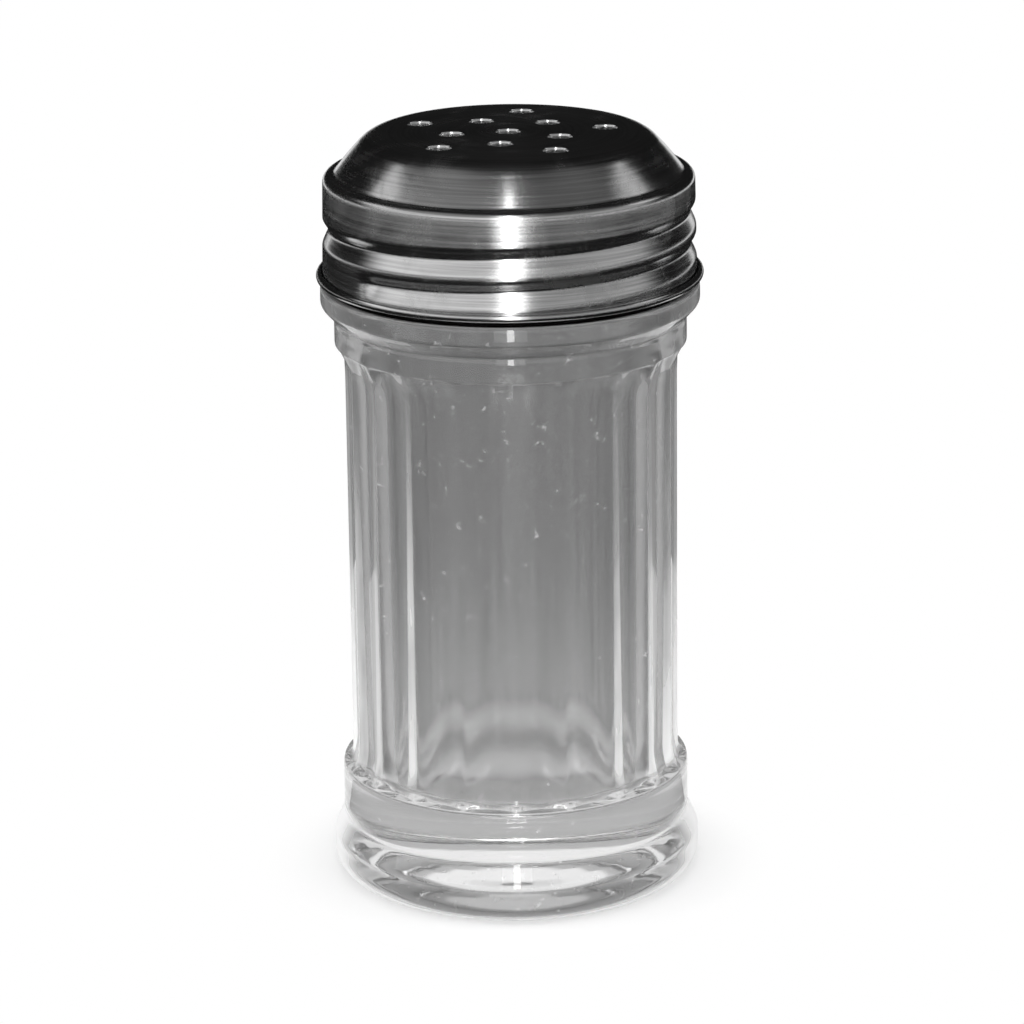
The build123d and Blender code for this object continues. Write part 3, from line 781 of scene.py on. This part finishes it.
def matt_white_paper():
    """Matt white paper, smooth and even. Away from the shaker the camera, reflections and
    glass see it as plain white."""
    PAPER, WHITE = linear("#f2f2f2"), linear("#ffffff")
    material, add = new_material("matt_white_paper")
    places = add("TexCoord").outputs["Object"]
    far = add("VectorMath", {0: places}, operation="LENGTH").outputs["Value"]
    path = add("LightPath").outputs
    seen = path["Is Camera Ray"]
    for ray in ("Is Glossy Ray", "Is Transmission Ray"):
        seen = add("Math", {0: seen, 1: path[ray]}, operation="MAXIMUM")
    clear = add("MapRange", {"Value": far, "From Min": SHADOW_CORE * MM, "From Max": SHADOW_REACH * MM,
                             "To Min": 0.2, "To Max": 1.0}, interpolation_type="SMOOTHSTEP")
    share = add("Math", {0: seen, 1: clear}, operation="MULTIPLY")
    paper = add("BsdfDiffuse", {"Color": PAPER})
    plain = add("Emission", {"Color": WHITE})
    add("OutputMaterial", {"Surface": add("MixShader", {0: share, 1: paper, 2: plain})})
    return material


floor.data.materials.append(matt_white_paper())


# ---------------------------------------------------------------- dark tray
# A flat ring on the paper with a low wall, as steel is lit in a studio. It glows near-black
# like black felt, as a painted dark reflection, and only polished surfaces show it. Its inner
# part is left open behind the shaker.
TRAY_INNER = 45.0
TRAY_STEP = 170.0
TRAY_RADIUS = 260.0
TRAY_LIFT = 0.6
TRAY_WALL = 80.0
TRAY_LEAN = 1.0
TRAY_SWEEP = 120.0
TRAY_COLUMNS = 96


def dark_tray():
    """Faces of the ring and its wall, without the inner ones behind the shaker."""
    path = np.array([
        (TRAY_INNER, TRAY_LIFT),
        (TRAY_STEP, TRAY_LIFT),
        (TRAY_RADIUS, TRAY_LIFT),
        (TRAY_RADIUS + TRAY_LEAN, TRAY_WALL),
    ])
    angles = np.arange(TRAY_COLUMNS) * 360 / TRAY_COLUMNS
    from_front = np.abs((angles + 270) % 360 - 180)
    points = turned_points(np.repeat(path[:, 0:1], TRAY_COLUMNS, 1), path[:, 1:2], angles)
    faces = [face for number, face in enumerate(turned_faces(len(path), TRAY_COLUMNS))
             if number >= TRAY_COLUMNS or from_front[number] < TRAY_SWEEP]
    return piece_from("dark_tray", points, faces)


def glowing_black_felt():
    """Black wool felt, glowing the same near-black from every side: a painted dark reflection."""
    FELT = linear("#202020")
    material, add = new_material("glowing_black_felt")
    add("OutputMaterial", {"Surface": add("Emission", {"Color": FELT, "Strength": 1.0})})
    return material


tray = dark_tray()
tray.data.materials.append(glowing_black_felt())
for kind in ("camera", "diffuse", "transmission", "shadow"):
    setattr(tray, "visible_" + kind, False)


# ---------------------------------------------------------------- pale tent
# White cloth round the camera's side of the shaker, brightest low down and dim overhead,
# in a dark room. The camera and the glass see plain white in its place.
ROOM_GLOW = 0.012

# Axis, where the light starts and stops changing along it, and its shares there: over the
# floor, twice on the way up, towards the right, which is in half light, and behind.
TENT_EDGES = (
    ("Z", sin(radians(-1)), sin(radians(14)), 0.0, 1.0),
    ("Z", sin(radians(30)), sin(radians(44)), 1.0, 0.26),
    ("Z", sin(radians(62)), sin(radians(86)), 1.0, 0.04),
    ("X", -0.05, 0.3, 1.0, 0.5),
    ("Y", -0.1, 0.3, 1.0, 0.0),
)


def pale_tent():
    """World light: one share for each edge of the tent, multiplied, and a faint glow."""
    WHITE = linear("#ffffff")
    world = bpy.data.worlds.new("pale_tent")
    bpy.context.scene.world = world
    world.use_nodes = True
    world.node_tree.nodes.clear()
    add = partial(node, world.node_tree)
    towards = add("SeparateXYZ", {0: add("TexCoord").outputs["Generated"]}).outputs
    cloth = 1.0
    for axis, start, end, first, last in TENT_EDGES:
        share = add("MapRange", {"Value": towards[axis], "From Min": start, "From Max": end,
                                 "To Min": first, "To Max": last}, interpolation_type="SMOOTHSTEP")
        cloth = add("Math", {0: cloth, 1: share}, operation="MULTIPLY")
    tent = add("Math", {0: cloth, 1: ROOM_GLOW}, operation="ADD")
    path = add("LightPath").outputs
    plain = add("Math", {0: path["Is Camera Ray"], 1: path["Is Transmission Ray"]}, operation="MAXIMUM")
    strength = add("Mix", {0: plain, 2: tent, 3: 1.0}, data_type="FLOAT")
    add("OutputWorld", {"Surface": add("Background", {"Color": WHITE, "Strength": strength})})


pale_tent()


# ---------------------------------------------------------------- lamps
# Soft boxes: three wide ones that only fill, two small panels that the cone mirrors at
# either side, and a tall strip in front, with a faint glow round it, for the bright line.
LAMP_AIM_HEIGHT = 70.0
STRIP_HEIGHT = 315.0
GLOW_HEIGHT = 233.0


def soft_box(name, azimuth, elevation, distance, width, height, power, shines=True):
    """Rectangular lamp of a power in watts that faces the shaker from a distance. Azimuth 0
    is the camera's side, and only a lamp that shines is seen in reflections."""
    lamp = bpy.data.lights.new(name, "AREA")
    lamp.shape = "RECTANGLE"
    lamp.size = width * MM
    lamp.size_y = height * MM
    lamp.energy = power
    box = bpy.data.objects.new(name, lamp)
    side, rise = radians(azimuth), radians(elevation)
    away = Vector((sin(side) * cos(rise), -cos(side) * cos(rise), sin(rise)))
    box.location = Vector((0, 0, LAMP_AIM_HEIGHT * MM)) + away * distance * MM
    box.rotation_euler = away.to_track_quat("Z", "Y").to_euler()
    box.visible_camera = False
    box.visible_glossy = shines
    bpy.context.scene.collection.objects.link(box)
    return box


soft_box("overhead_fill", 0, 88, 1200, 1200, 1200, 10.0, shines=False)
soft_box("left_fill", -80, 25, 900, 500, 400, 3.0, shines=False)
soft_box("right_fill", 80, 25, 900, 500, 400, 3.0, shines=False)
soft_box("left_panel", -103, 36, 900, 300, 260, 0.22)
soft_box("right_panel", 103, 36, 900, 300, 260, 0.22)
strip = soft_box("strip_light", 0, 0, 255, 18, 564, 0.31)
strip.location.z = STRIP_HEIGHT * MM
glow = soft_box("strip_glow", 0, 0, 257, 84, 400, 0.1)
glow.location.z = GLOW_HEIGHT * MM
